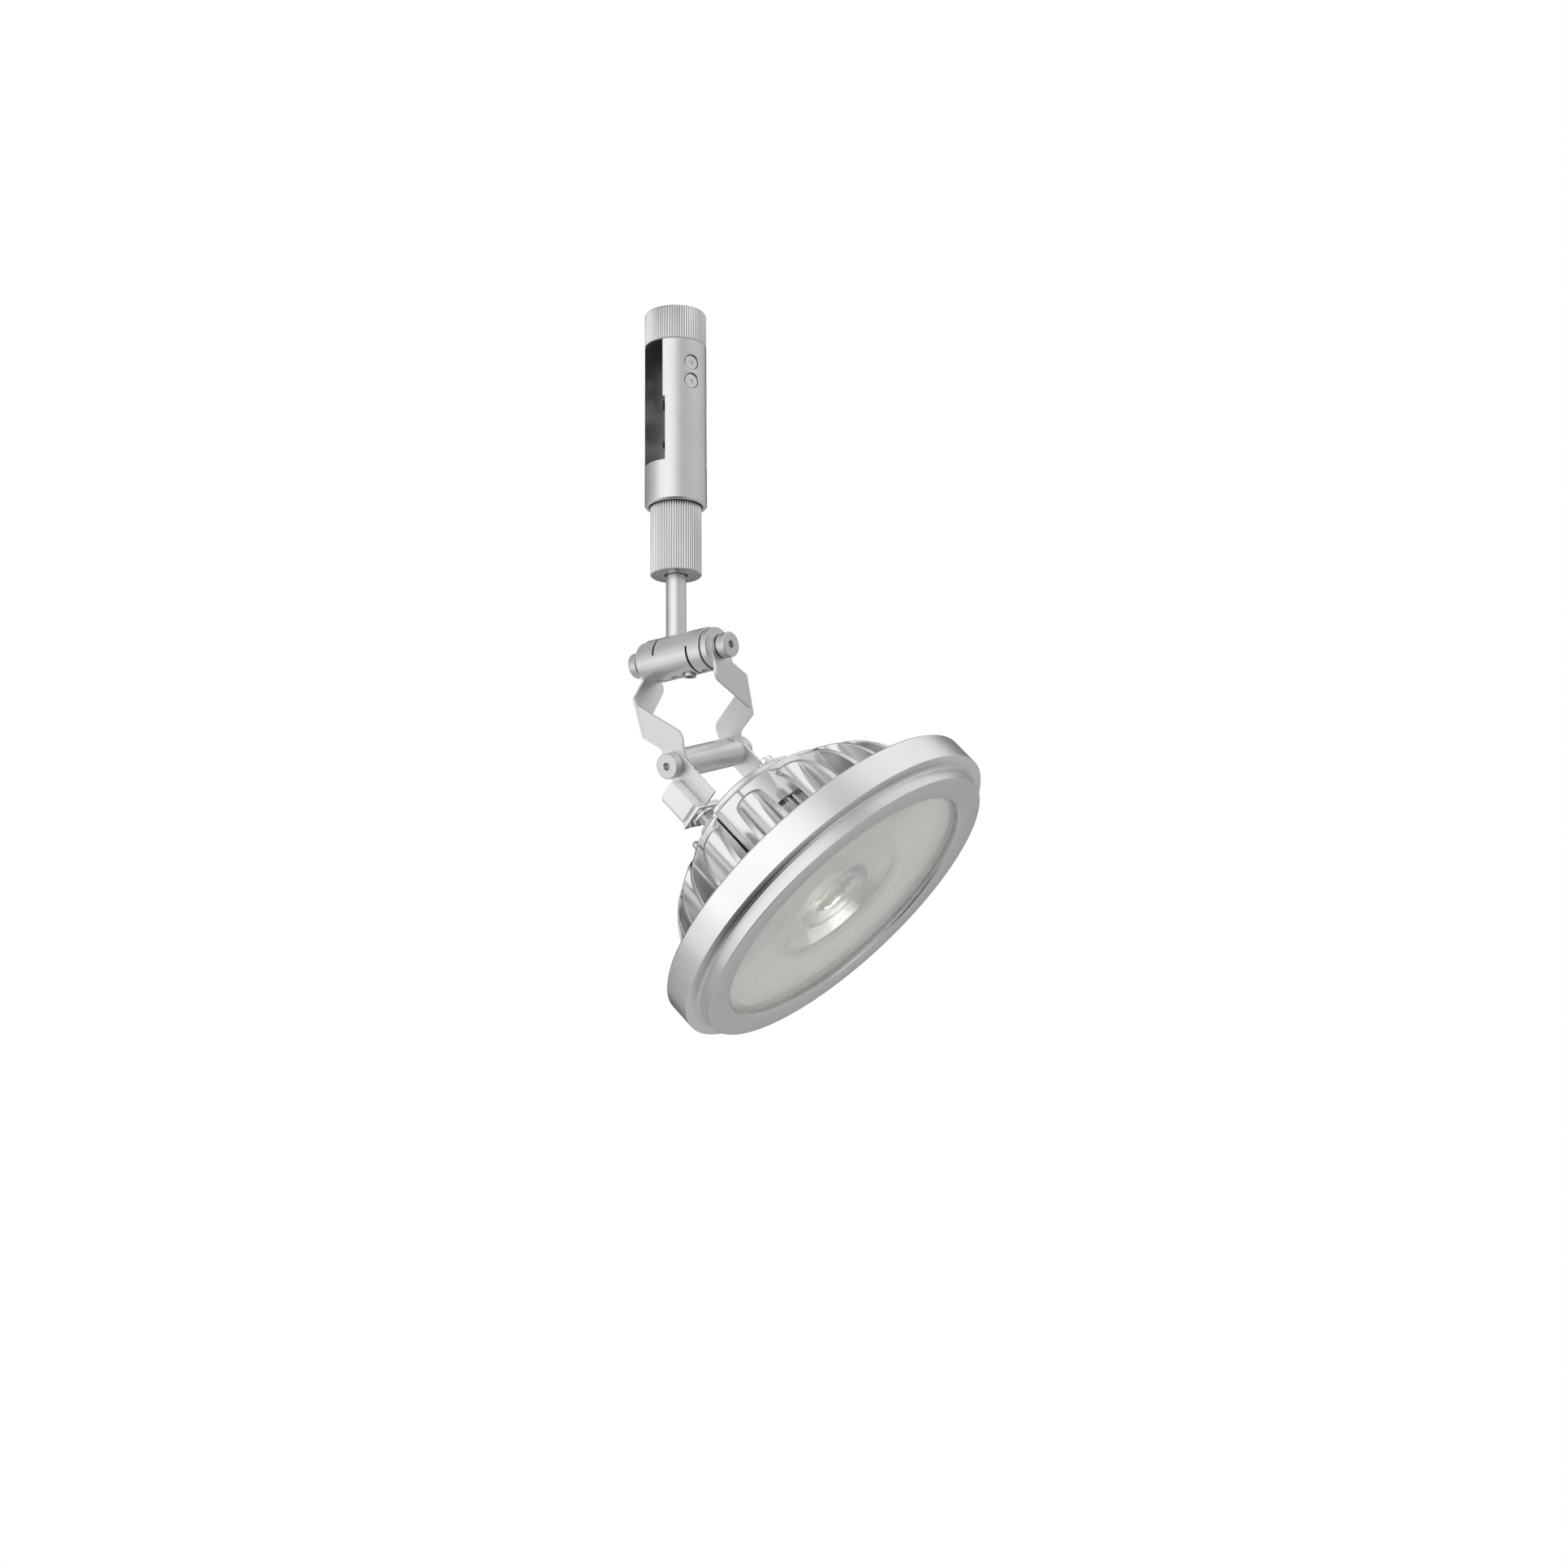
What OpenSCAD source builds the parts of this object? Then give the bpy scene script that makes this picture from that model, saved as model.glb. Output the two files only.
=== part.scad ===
// Low-voltage track spotlight: slotted rail adapter, hanging rod, cross joint
// made of two folded strip arms, and a finned 111 mm reflector lamp.
// Origin: centre of the slot's back wall, where the rail's flat side rests.
// +Z up, +X along the rail, -Y towards the leg with the two screws.

/* [Rail adapter] */

// Outside diameter of the slotted body and of its cap
adapter_d = 18.5; // [16:0.5:24]
// Width of the slot that takes the rail
slot_w = 10; // [8:0.2:12]
// Height of the slot
slot_h = 38; // [30:1:44]
// Length of the solid base below the slot
base_h = 12.4; // [9:0.2:16]
// Height of the knurled cap
cap_h = 10.8; // [8:0.2:14]
// Outside diameter of the knurled coupling sleeve
sleeve_d = 15.2; // [13:0.2:18]
// Visible length of the coupling sleeve
sleeve_h = 21.2; // [16:0.2:28]

/* [Rod and barrel] */

// Diameter of the hanging rod
rod_d = 6; // [5:0.5:8]
// Height of the barrel axis, measured from the slot centre
barrel_z = -77.4; // [-140:0.2:-70]
// Diameter of the cross barrel
barrel_d = 12.9; // [11:0.1:15]
// Length of the cross barrel
barrel_l = 22.1; // [20:0.1:24]
// Distance of the barrel's middle from the rod axis
barrel_off = 2.6; // [0:0.1:3]

/* [Arms] */

// Distance between the two tilt axes
arm_l = 30.7; // [28:0.1:34]
// Width of the strip the arms are cut from
arm_w = 8; // [7:0.5:9]
// Thickness of the arms
arm_t = 1; // [0.8:0.1:1]
// Diameter of the pivot screw heads
head_d = 7.5; // [6.5:0.1:8]
// Diameter of the lower cross tube
tube_d = 8.6; // [8:0.1:9.5]

/* [Lamp] */

// Diameter of the lamp rim, a standard size
lamp_d = 111; // [110.5:0.5:111.5]
// Distance from the lower tilt axis to the back of the rim
rim_z = 50; // [48:0.5:54]
// Width of the rim
rim_h = 9; // [7:0.5:10]
// Number of arches, each made of two cooling fins joined at their inner ends
arches = 15; // [12:1:18]

/* [Rest pose] */

// Turn of the rod about the vertical
swivel = -72.2; // [-180:0.1:180]
// Tilt of the arms about the upper axis
yoke_tilt = 19; // [-60:0.1:60]
// Tilt of the lamp about the lower axis
lamp_tilt = 37.4; // [-80:0.1:80]

/* [Hidden] */

$fn = 96;

fit = 0.02;
run = 0.05;
slot_top = slot_h / 2;
slot_floor = -slot_h / 2;
body_bottom = slot_floor - base_h;
sleeve_bottom = body_bottom - sleeve_h;
sleeve_top = body_bottom + 1.2;
spigot_d = 12;
spigot_end = sleeve_bottom + 6.4;
sleeve_wall = 3.4;
flange_top = spigot_end - 1.4;
stub_d = adapter_d - 3.1;
stub_top = slot_top + 5;
tab_in = 13.3;
tab_out = tab_in + arm_t;
bend_h = 5.2;
lean = 12.44;
fold_h1 = 9.5;
fold_h2 = 20;
head_t = 2.8;
hex_d = 2.5;
strip_in = tab_out + 0.05;
strip_t = 0.9;
washer_t = 0.4;
lower_head = strip_in + strip_t + washer_t + 0.1;
upper_head = tab_out + 1.15;
rim_r = lamp_d / 2;
rim_f = rim_z + rim_h;
face_z = rim_f + 4.6;
cup_r = rim_r - 4.4;
foot_z = 14.6;
foot_x1 = -9.6;
foot_x2 = -1;
foot_y1 = 8.2;
foot_y2 = 19.4;
term_x = (foot_x1 + foot_x2) / 2;
term_y = (foot_y1 + foot_y2) / 2;
far_lift = 2;
hub_r = 17;
hub_z = 18.8;
notch_x = [-10.2, 0.2];
notch_y = 8.8;
notch_z = 22.4;
arch_turn = 56.4;
arch_mid = 37.1;
arch_in = 3.2;
arch_out = 4.55;

silver = [0.78, 0.79, 0.80];
bright = [0.86, 0.86, 0.87];
steel = [0.72, 0.72, 0.74];
black = [0.10, 0.10, 0.11];
white = [0.94, 0.94, 0.93];
brass = [0.80, 0.66, 0.36];
copper = [0.80, 0.48, 0.32];

// ---------- frames ----------

// Rod axis, in the middle of the slot
module at_axis() {
  translate([0, -slot_w / 2, 0])
    children();
}

// Barrel: X along the barrel, Z up
module at_barrel() {
  at_axis()
    rotate([0, 0, swivel])
      translate([barrel_off, 0, barrel_z])
        children();
}

// Arms: X along the upper axis, Y along the lower axis, Z up the arms
module at_yoke() {
  at_barrel()
    rotate([yoke_tilt, 0, 0])
      children();
}

// Lower tube: Y along the tube
module at_tube() {
  at_yoke()
    translate([0, 0, -arm_l])
      children();
}

// Lamp: Z along the beam, Y along the lower axis
module at_lamp() {
  at_tube()
    rotate([0, -lamp_tilt, 0])
      rotate([180, 0, 0])
        children();
}

// Cylinder between two heights
module shaft(d, z1, z2) {
  translate([0, 0, z1])
    cylinder(d = d, h = z2 - z1);
}

// Cylinder along +X between two distances
module shaft_x(d, x1, x2) {
  rotate([0, 90, 0])
    shaft(d, x1, x2);
}

// Cylinder along +Y between two distances
module shaft_y(d, y1, y2) {
  rotate([-90, 0, 0])
    shaft(d, y1, y2);
}

// Box between two corners
module box(a, b) {
  translate(a)
    cube(b - a);
}

// Both ends of a two-fold symmetric pair
module both() {
  for (turn = [0, 180])
    rotate([0, 0, turn])
      children();
}

// Socket cap screw along +X: shank towards 0, flat face outwards
module pivot_screw(shank_from, head_from, collar) {
  difference() {
    union() {
      shaft_x(3, shank_from, head_from + 0.3);
      shaft_x(5, head_from - collar, head_from + 0.3);
      shaft_x(head_d, head_from, head_from + head_t - 0.2);
      translate([head_from + head_t - 0.2, 0, 0])
        rotate([0, 90, 0])
          cylinder(d1 = head_d, d2 = head_d - 0.4, h = 0.2);
    }
    translate([head_from + head_t - 1.8, 0, 0])
      rotate([0, 90, 0])
        cylinder(d = hex_d, h = 2.4, $fn = 6);
  }
}

// Flat washer along +X
module washer(d, hole, from, thick) {
  difference() {
    shaft_x(d, from, from + thick);
    shaft_x(hole, from - 1, from + thick + 1);
  }
}

// ---------- adapter ----------

module adapter_body() color(silver) at_axis() {
  difference() {
    union() {
      shaft(adapter_d, body_bottom + 0.5, slot_top);
      translate([0, 0, body_bottom])
        cylinder(d1 = adapter_d - 0.8, d2 = adapter_d, h = 0.5);
      shaft(stub_d, slot_top - 1, stub_top);
      shaft(spigot_d, spigot_end, body_bottom + 3);
    }
    box([-20, -slot_w / 2, slot_floor], [20, slot_w / 2, stub_top + 1]);
    box([-20, -slot_w / 2 - 0.6, slot_floor], [20, 0, 0.8]);
    box([-5.5, -slot_w / 2 - 1.8, slot_floor + 2], [5.5, 0, slot_top - 2]);
    difference() {
      shaft(adapter_d - 2.3, body_bottom - 1, body_bottom + 1.8);
      shaft(spigot_d, body_bottom - 2, body_bottom + 2);
    }
    shaft(8, spigot_end - 1, slot_floor - 5);
    shaft(3, slot_floor - 6, slot_floor + 1);
    for (z = [5.9, 11.7])
      translate([0, 0, z]) {
        shaft_y(2.5, -12, 0);
        shaft_y(4.8, -12, -7.6);
      }
  }
}

module contact_carrier() color(black) at_axis() {
  front = -slot_w / 2;
  difference() {
    union() {
      box([-5.4, front - 1.75, slot_floor + 2.1], [5.4, front - 0.05, slot_top - 2.1]);
      for (z = [[13.4, 15.6], [-3.6, -0.6], [-15.6, -13.4]])
        box([-7.5, front + 0.05, z[0]], [7.5, front + 0.4, z[1]]);
      for (z = [[13.4, 15.6], [-3.6, -0.6], [-15.6, -13.4]])
        box([-5.4, front - 1, z[0]], [5.4, front + 0.2, z[1]]);
    }
    for (z = [5.9, 11.7])
      translate([0, 0, z])
        shaft_y(2.5, -12, 0);
    for (z = [2, -8.5])
      box([-4.1, front - 1.25, z - 1.6], [4.1, front + 1, z + 1.6]);
  }
}

module rail_contacts() color(copper) at_axis() {
  front = -slot_w / 2;
  for (z = [2, -8.5])
    translate([0, 0, z]) {
      box([-4, front - 1.2, -1.5], [4, front - 0.7, 1.5]);
      box([-2, front - 0.8, -0.8], [2, front + 0.4, 0.8]);
    }
}

module carrier_screws() color(steel) at_axis() {
  for (z = [5.9, 11.7])
    translate([0, 0, z])
      difference() {
        union() {
          shaft_y(4.2, -8.8, -7.6);
          shaft_y(2.46, -7.8, -5.3);
        }
        translate([0, -7.9, 0])
          rotate([90, 0, 0])
            cylinder(d = 1.9, h = 2, $fn = 6);
      }
}

module socket_insulator() color(white) at_axis() {
  difference() {
    shaft(8 - 2 * fit, spigot_end + 0.2, slot_floor - 5.2);
    shaft(5, spigot_end - 1, slot_floor - 7);
    shaft(2, slot_floor - 8, slot_floor);
  }
}

module socket_contact() color(brass) at_axis() {
  difference() {
    shaft(5 - 2 * fit, spigot_end + 1, slot_floor - 7.2);
    shaft(3.2 + 2 * run, spigot_end - 1, slot_floor - 9);
  }
}

// ---------- cap and sleeve ----------

module cap() color(silver) at_axis() {
  bottom = slot_top + 0.1;
  top = slot_top + cap_h;
  difference() {
    union() {
      shaft(adapter_d, bottom, top - 0.9);
      translate([0, 0, top - 0.9])
        cylinder(d1 = adapter_d, d2 = adapter_d - 2, h = 0.9);
    }
    shaft(stub_d + 2 * run, bottom - 1, slot_top + 7.6);
  }
}

module cap_pad() color(black) at_axis()
  shaft(stub_d, stub_top + 0.3, slot_top + 7.6);

module sleeve() color(silver) at_axis() {
  difference() {
    union() {
      shaft(sleeve_d, sleeve_bottom + 0.3, sleeve_top);
      translate([0, 0, sleeve_bottom])
        cylinder(d1 = sleeve_d - 0.6, d2 = sleeve_d, h = 0.3);
    }
    shaft(spigot_d + 2 * run, sleeve_bottom + sleeve_wall, sleeve_top + 1);
    shaft(rod_d + 0.8, sleeve_bottom - 1, sleeve_top);
  }
}

// ---------- stem ----------

module rod() color(silver) at_axis() {
  rotate([0, 0, swivel])
    difference() {
      union() {
        shaft(rod_d, barrel_z + 0.6, flange_top);
        shaft(10, sleeve_bottom + sleeve_wall + 0.1, flange_top);
      }
      shaft(3.6, barrel_z - 1, flange_top + 1);
    }
}

module plug_insulator() color(white) at_axis() {
  difference() {
    shaft(9, flange_top, spigot_end - 0.1);
    shaft(3.2, flange_top - 1, spigot_end + 1);
  }
}

module plug_pin() color(brass) at_axis() {
  shaft(3.2, flange_top, spigot_end + 12);
  translate([0, 0, spigot_end + 12])
    cylinder(d1 = 3.2, d2 = 1.8, h = 1.2);
}

module core_insulation() color(white) at_axis() {
  difference() {
    shaft(3.6 - 2 * fit, barrel_z + 0.6, flange_top);
    shaft(1.6, barrel_z, flange_top + 1);
  }
}

module core_wire() color(copper) at_axis()
  shaft(1.6 - 2 * fit, barrel_z + 0.6, flange_top);

module barrel() color(silver) at_barrel() {
  half = barrel_l / 2;
  difference() {
    shaft_x(barrel_d, -half, half);
    for (side = [-1, 1])
      shaft_x(9.6, side > 0 ? 6.7 : -half - 1, side > 0 ? half + 1 : -6.7);
    translate([-barrel_off, 0, 0])
      shaft(rod_d + 2 * fit, 0.5, barrel_d);
    box([-6.58, -barrel_d, -0.3], [-5.93, barrel_d, barrel_d]);
    box([5.93, -barrel_d, -barrel_d], [6.58, barrel_d, 0.3]);
    for (x = [-9, -barrel_off, 9])
      translate([x, 0, 0])
        shaft(3, -barrel_d, -3.6);
    translate([2.6, 0, 0]) {
      shaft(2.5, -barrel_d, -1);
      shaft(4.2, -barrel_d, -5.4);
    }
  }
}

module barrel_liners() color(black) at_barrel()
  both()
    difference() {
      shaft_x(9.6 - 2 * fit, 6.75, barrel_l / 2);
      shaft_x(8 + 2 * run, 6, barrel_l / 2 + 1);
    }

module clamp_screw() color(steel) at_barrel() translate([2.6, 0, 0]) {
  difference() {
    union() {
      shaft(2.46, -5.6, -1.2);
      shaft(3.8, -7.1, -5.4);
    }
    translate([0, 0, -8])
      cylinder(d = 2.3, h = 2, $fn = 6);
  }
}

module grub_screws() color(steel) at_barrel()
  for (x = [-9, -barrel_off, 9])
    translate([x, 0, 0])
      difference() {
        shaft(2.96, -6.1, x == -barrel_off ? -3.7 : -4.85);
        translate([0, 0, -6.6])
          cylinder(d = 1.7, h = 1.2, $fn = 6);
      }

// ---------- yoke ----------

module bush() {
  difference() {
    union() {
      shaft_x(12, barrel_l / 2 + 0.2, tab_in);
      shaft_x(8, 6.9, barrel_l / 2 + 0.3);
    }
    shaft_x(3 + 2 * fit, 6, tab_in + 1);
  }
}

module bush_right() color(silver) at_yoke()
  bush();

module bush_left() color(silver) at_yoke()
  rotate([0, 0, 180])
    bush();

// Leaning half of an arm, seen along the upper axis; y along the lower axis
module arm_outline() {
  k = 1 / cos(lean);
  r = arm_w / 2;
  turn = 56.8;
  polygon(concat(
    [[-r, 0.2], [r, 0.2], [r, 0]],
    [[10.76, -(fold_h1 - bend_h) * k]],
    [[13.08, -(fold_h2 - bend_h) * k]],
    [for (i = [12 : -1 : 0])
      let (a = turn * i / 12)
        [r * (1 - cos(a)) - r, -(6.65 - bend_h + r * sin(a)) * k]]
  ));
}

// Half of an arm: flat tab at the pivot, then the leaning part up to the fold
module arm_half() {
  r = arm_w / 2;
  difference() {
    union() {
      translate([tab_in, 0, 0])
        rotate([90, 0, 90])
          linear_extrude(arm_t) {
            circle(r);
            translate([-r, -bend_h])
              square([2 * r, bend_h]);
          }
      translate([tab_out, 0, -bend_h])
        rotate([0, lean, 0])
          translate([-arm_t, 0, 0])
            rotate([90, 0, 90])
              linear_extrude(arm_t)
                arm_outline();
    }
    shaft_x(3 + 2 * run, tab_in - 1, tab_out + 1);
  }
}

module arm() {
  arm_half();
  translate([0, 0, -arm_l / 2])
    rotate(a = 180, v = [1, 1, 0])
      translate([0, 0, arm_l / 2])
        arm_half();
}

module arm_right() color(silver) at_yoke()
  arm();

module arm_left() color(silver) at_yoke()
  rotate([0, 0, 180])
    arm();

module upper_washers() color(steel) at_yoke()
  both()
    washer(7.6, 3 + 2 * run, tab_out, 0.5);

module upper_screws() color(bright) at_yoke()
  both()
    pivot_screw(8, upper_head, 0.5);

module tube_half(angle) {
  difference() {
    shaft_y(tube_d, 0.2, tab_in);
    shaft_y(5, -1, 6.5);
    shaft_y(3 + 2 * fit, 6, tab_in + 1);
    translate([0, 10.5, 0])
      rotate([0, angle, 0])
        shaft(2.4, 2, tube_d);
  }
}

module tube_right() color(silver) at_tube()
  tube_half(33);

module tube_left() color(silver) at_tube()
  rotate([0, 0, 180])
    tube_half(-134);

module tube_insulator() color(white) at_tube() {
  shaft_y(5 - 2 * fit, -6.4, 6.4);
  shaft_y(tube_d - 0.2, -0.2, 0.2);
}

module tube_grub_screws() color(steel) at_tube() {
  for (s = [[10.5, 33], [-10.5, 134]])
    translate([0, s[0], 0])
      rotate([0, s[1], 0])
        difference() {
          shaft(2.36, 2.1, 3.6);
          translate([0, 0, 2.8])
            cylinder(d = 1.4, h = 2, $fn = 6);
        }
}

module lower_washers() color(steel) at_tube()
  both()
    rotate([0, 0, 90])
      washer(7.4, 3 + 2 * run, strip_in + strip_t + 0.05, washer_t);

module lower_screws() color(bright) at_tube()
  both()
    rotate([0, 0, 90])
      pivot_screw(7.5, lower_head, 0);

// ---------- lamp ----------

// Near terminal as drawn, far terminal half a turn round and a little further back
module terminals() {
  children();
  rotate([0, 0, 180])
    translate([0, 0, -far_lift])
      children();
}

// Flat strip from the lower pivot to a terminal, with its foot bent square
module strip(foot) {
  difference() {
    union() {
      translate([0, strip_in, 0])
        rotate([-90, 0, 0])
          linear_extrude(strip_t) {
            circle(arm_w / 2);
            translate([-arm_w / 2, -foot - strip_t])
              square([arm_w, foot + strip_t]);
          }
      box([foot_x1 + 0.4, foot_y1 + 0.8, foot], [foot_x2, foot_y2 - 0.6, foot + strip_t]);
    }
    shaft_y(3 + 2 * run, strip_in - 1, strip_in + strip_t + 1);
    translate([term_x, term_y, 0])
      shaft(4.04, foot - 1, foot + 3);
    box([term_x - 2.6, strip_in - 1, foot - 2.8], [term_x + 2.6, strip_in + 2, foot]);
  }
}

module strip_left() color(silver) at_lamp()
  strip(foot_z);

module strip_right() color(silver) at_lamp()
  rotate([0, 0, 180])
    strip(foot_z - far_lift);

module terminal_plates() color(bright) at_lamp()
  terminals()
    difference() {
      union() {
        box([foot_x1, foot_y1, foot_z + strip_t], [foot_x2, foot_y2, foot_z + strip_t + 0.8]);
        translate([term_x, term_y, 0])
          shaft(7, foot_z + strip_t + 0.7, foot_z + strip_t + 1.5);
      }
      translate([term_x, term_y, 0])
        shaft(4.04, foot_z, foot_z + 5);
    }

module terminal_screws() color(bright) at_lamp() {
  for (far = [0, 1])
    rotate([0, 0, 180 * far])
      translate([term_x, term_y, 0]) {
        shaft(4, foot_z - far * far_lift - 0.1, notch_z - 0.1);
        shaft(5, foot_z - far * far_lift - 2.6, foot_z - far * far_lift - 0.05);
      }
}

// White cap over the near terminal's screw head
module terminal_cover() color(white) at_lamp()
  difference() {
    box([foot_x1, strip_in + strip_t + 0.05, 4.4], [foot_x2 - 0.6, foot_y2 + 0.4, foot_z - 0.05]);
    translate([term_x, term_y, 0])
      shaft(5.6, foot_z - 2.9, foot_z + 1);
    translate([foot_x1, foot_y2 + 0.4, 0])
      rotate([0, 0, 45])
        box([-1.4, -1.4, 4], [1.4, 1.4, foot_z]);
  }

module terminal_lugs() color(steel) at_lamp()
  both()
    difference() {
      union() {
        box([-7.5, notch_y + fit, 19.6], [-2.6, 16.8, 20.5]);
        translate([-7.5, 13.2, 19.6])
          cylinder(r = 2.6, h = 0.9);
      }
      translate([term_x, term_y, 0])
        shaft(4.04, 19, 21);
    }

// Openings in the hub that the two terminals stand in
module notches() {
  both()
    box([notch_x[0], notch_y, 5], [notch_x[1], 22, notch_z]);
}

module rear_cover() color(white) at_lamp()
  difference() {
    shaft(28 - 2 * fit, hub_z - 0.1, notch_z + 1);
    notches();
    intersection() {
      shaft(25.6, hub_z + 1.4, notch_z + 2);
      box([-14, -notch_y + 1, hub_z], [14, notch_y - 1, notch_z + 2]);
    }
  }

module hub_pins() color(steel) at_lamp()
  both()
    rotate([0, 0, 125.1])
      translate([20.6, 0, 0]) {
        shaft(2.2, 20.9, 24);
        translate([0, 0, 20.9])
          sphere(d = 2.2, $fn = 48);
      }

// Outline of the finned casting: radius against distance along the beam
module sink_profile()
  polygon([
    [14, hub_z], [hub_r - 0.4, hub_z], [hub_r, hub_z + 0.4], [hub_r, 20.5], [17.4, 21.2],
    [18.3, 21.8], [20, 22.3], [22, 22.9], [24, 23.7], [26.3, 24.7], [28.6, 26.2], [30.6, 27.7],
    [32.6, 29.2], [34.6, 30.7], [36.3, 32.1], [37.6, 33.3], [38.8, 34.6], [39.9, 36], [40.8, 37.4],
    [41.6, 38.9], [42.3, 40.5], [42.9, 42.1], [43.4, 43.8], [43.8, 45.6], [44.1, 47.6],
    [44.2, rim_z], [cup_r, rim_z], [cup_r, rim_f], [cup_r - 4, rim_f], [cup_r - 4, 52.4],
    [40, 49], [0, 49], [0, 45], [14, 45]
  ]);

// Two fins and the round wall that joins them, seen along the beam
module arch_shape(r, half) {
  translate([arch_mid, 0])
    circle(r, $fn = 48);
  polygon([[arch_mid, -r], [60, -half], [60, half], [arch_mid, r]]);
}

module at_arches()
  for (i = [0 : arches - 1])
    rotate(arch_turn + i * 360 / arches)
      children();

// Part of a disc between two directions
module sector(r, from, to)
  intersection() {
    circle(r);
    polygon([[0, 0], for (a = [from, (from + to) / 2, to]) [80 * cos(a), 80 * sin(a)]]);
  }

// Core of the casting behind the arches, seen along the beam
module core_shape() {
  circle(22);
  for (turn = [0, 180])
    rotate(turn) {
      sector(26.3, 308.4, 416.4);
      sector(23.7, 79, 130);
    }
  at_arches()
    polygon([[20, -1.3], [26, -1.3], [23.6, -0.3], [21.8, 0.8], [20, 0.9]]);
}

// Open pockets between the fins
module pockets() {
  translate([0, 0, 10])
    linear_extrude(37) {
      difference() {
        circle(60);
        core_shape();
        at_arches()
          arch_shape(arch_out, 7.57);
      }
      at_arches()
        arch_shape(arch_in, 5.22);
    }
  translate([0, 0, 35.2])
    linear_extrude(11.8)
      difference() {
        sector(27, 33.5, 55);
        circle(24.4);
        rotate(36.2)
          translate([23, -0.45])
            square([2.6, 0.9]);
      }
}

// Thin ribs that tie the arches to the core, sunk below the outline
module ties() {
  for (i = [0 : arches - 1])
    intersection() {
      rotate([0, 0, arch_turn + i * 360 / arches])
        box([21, -0.8, 20], [33.5, 0.8, 47.5]);
      translate([0, 0, i == 0 ? 3.4 : 0.9])
        rotate_extrude()
          sink_profile();
    }
}

module heat_sink() color(bright) at_lamp()
  difference() {
    union() {
      difference() {
        rotate_extrude()
          sink_profile();
        pockets();
      }
      ties();
    }
    notches();
    both()
      rotate([0, 0, 125.1])
        translate([20.6, 0, 0])
          shaft(2.24, 5, 24.05);
  }

module rim_band() color(bright) at_lamp()
  rotate_extrude()
    polygon([
      [cup_r + fit, rim_z - 0.6], [rim_r - 1.2, rim_z - 0.1], [rim_r - 0.5, rim_z],
      [rim_r, rim_z + 0.5], [rim_r, rim_f - 0.2], [rim_r - 0.2, rim_f], [cup_r + fit, rim_f]
    ]);

module front_ring() color(silver) at_lamp()
  rotate_extrude()
    polygon([
      [cup_r - 5, rim_f + fit], [52.6, rim_f + fit], [51.9, 59.3], [51.4, 59.8], [51.1, 60.6],
      [51.04, face_z - 0.2], [50.84, face_z], [43.4, face_z], [43, face_z - 0.4],
      [43, face_z - 1.6], [44.6, face_z - 1.6], [44.6, rim_f + 0.5], [cup_r - 5, rim_f + 0.5]
    ]);

module lens_plate() color([0.88, 0.88, 0.84, 0.45]) at_lamp()
  shaft(89, rim_f + 1.2, face_z - 1.65);

module inner_cover() color(white) at_lamp()
  rotate_extrude()
    polygon([[21.9, 57.6], [45.8, 57.6], [45.8, 58.6], [21.9, 58.6]]);

module reflector() color(bright) at_lamp()
  rotate_extrude()
    polygon([
      [7.6, 51.4], [8.6, 51.4], [14, 53.2], [18.4, 55.6], [21.6, 58.7],
      [23.5, 58.7], [23.5, 59.4], [20.6, 59.4], [17.6, 56.4], [13.4, 54.1], [7.6, 52.2]
    ]);

module centre_lens() color([0.92, 0.93, 0.93, 0.35]) at_lamp()
  rotate_extrude()
    polygon([
      [0, 51.8], [4, 51.8], [7.4, 53.2], [11.8, 57.6], [12, 58], [12, 59.2],
      [8.4, 59.2], [8, 58.7], [5.4, 58.7], [5, 59.1], [0, 59.1]
    ]);

module led_board() color(white) at_lamp()
  shaft(36, 49, 50.4);

module led_emitter() color([0.95, 0.85, 0.45]) at_lamp()
  shaft(9, 50.4, 51.2);

module driver_board() color([0.16, 0.36, 0.24]) at_lamp() {
  shaft(26, 31, 32.6);
  box([-8, -5, 25.5], [2, 5, 31.2]);
  translate([6.5, 3, 0])
    shaft(6.3, 24.5, 31.2);
  translate([6.5, -5, 0])
    shaft(5, 25.5, 31.2);
}

adapter_body();
contact_carrier();
rail_contacts();
carrier_screws();
socket_insulator();
socket_contact();
cap();
cap_pad();
sleeve();
rod();
plug_insulator();
plug_pin();
core_insulation();
core_wire();
barrel();
barrel_liners();
clamp_screw();
grub_screws();
bush_left();
bush_right();
arm_left();
arm_right();
upper_washers();
upper_screws();
tube_left();
tube_right();
tube_insulator();
tube_grub_screws();
lower_washers();
lower_screws();
strip_left();
strip_right();
terminal_plates();
terminal_screws();
terminal_cover();
terminal_lugs();
rear_cover();
hub_pins();
heat_sink();
rim_band();
front_ring();
lens_plate();
inner_cover();
reflector();
centre_lens();
led_board();
led_emitter();
driver_board();
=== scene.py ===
"""Low-voltage track spotlight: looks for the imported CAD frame."""

import math

import bmesh
import bpy
from mathutils import Matrix, Vector


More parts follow.
